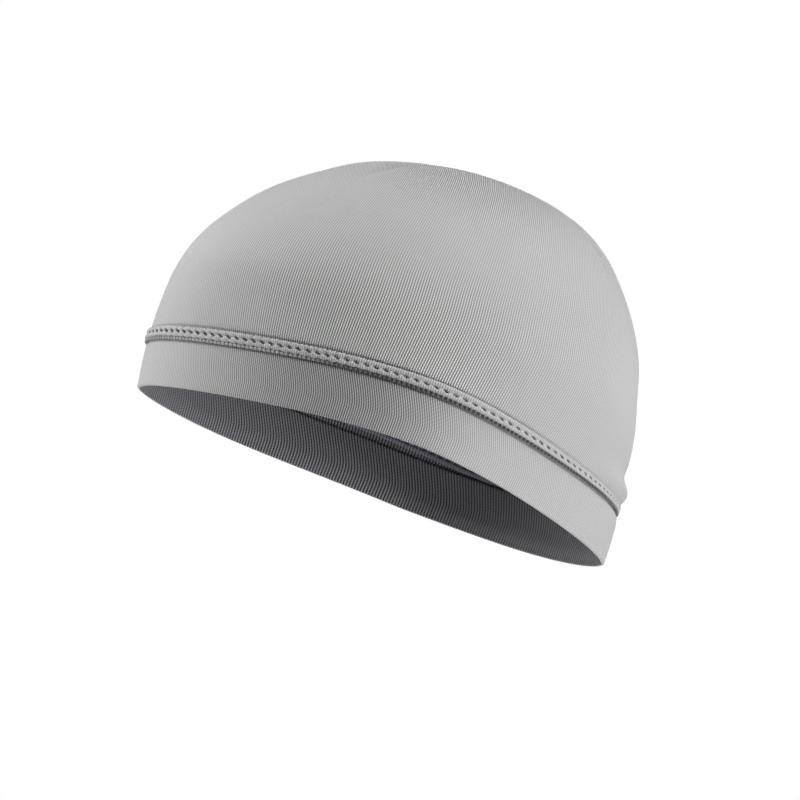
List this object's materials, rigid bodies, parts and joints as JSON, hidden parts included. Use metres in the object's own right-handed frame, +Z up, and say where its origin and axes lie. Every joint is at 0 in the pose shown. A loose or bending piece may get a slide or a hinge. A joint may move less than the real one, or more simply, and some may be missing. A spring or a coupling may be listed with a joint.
{
  "type": "helmet liner cap",
  "caption": "Close domed skull cap of grey stretch knit with a folded headband and a raised double-roll seam, worn under a helmet.",
  "frame": {"origin": "middle of the head opening, level with the rim at forehead and nape, where the head enters", "axes": "+Z up out of the crown, -Y towards the forehead, +Y towards the nape, +X towards the wearer's left"},
  "size_m": [0.155, 0.1993, 0.126],
  "materials": {
    "cap_knit": "fine ribbed stretch knit, pale neutral grey with a soft sheen",
    "seam_knit": "rolled seam of the same knit, slightly darker in its groove",
    "stitch_thread": "matt polyester sewing thread, grey"
  },
  "bodies": {
    "root": {"crown": "cap_knit", "band": "cap_knit", "cover_seam": "seam_knit", "inner_seam": "seam_knit"}
  },
  "joints": []
}
